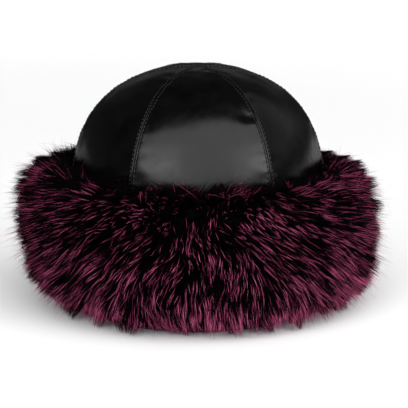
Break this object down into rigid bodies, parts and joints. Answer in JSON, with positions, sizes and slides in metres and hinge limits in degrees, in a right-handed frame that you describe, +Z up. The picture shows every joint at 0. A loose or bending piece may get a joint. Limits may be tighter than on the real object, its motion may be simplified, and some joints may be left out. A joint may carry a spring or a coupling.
{
  "type": "leather toque",
  "caption": "Winter toque with a domed leather crown of sewn gores and a deep rolled fur cuff, open below for the head.",
  "frame": {"origin": "middle of the flat foot of the cuff, on the surface that the hat stands on", "axes": "+Z up through the crown's top, -Y the way the wearer looks, so +X is the wearer's left"},
  "size_m": [0.2915, 0.3078, 0.1846],
  "materials": {
    "crown_leather": "smooth semi-gloss",
    "cuff_fur": "long soft fur"
  },
  "bodies": {
    "root": {"crown_gore_front": "crown_leather", "crown_gore_front_left": "crown_leather", "crown_gore_back_left": "crown_leather", "crown_gore_back": "crown_leather", "crown_gore_back_right": "crown_leather", "crown_gore_front_right": "crown_leather", "fur_cuff": "cuff_fur"}
  },
  "joints": []
}
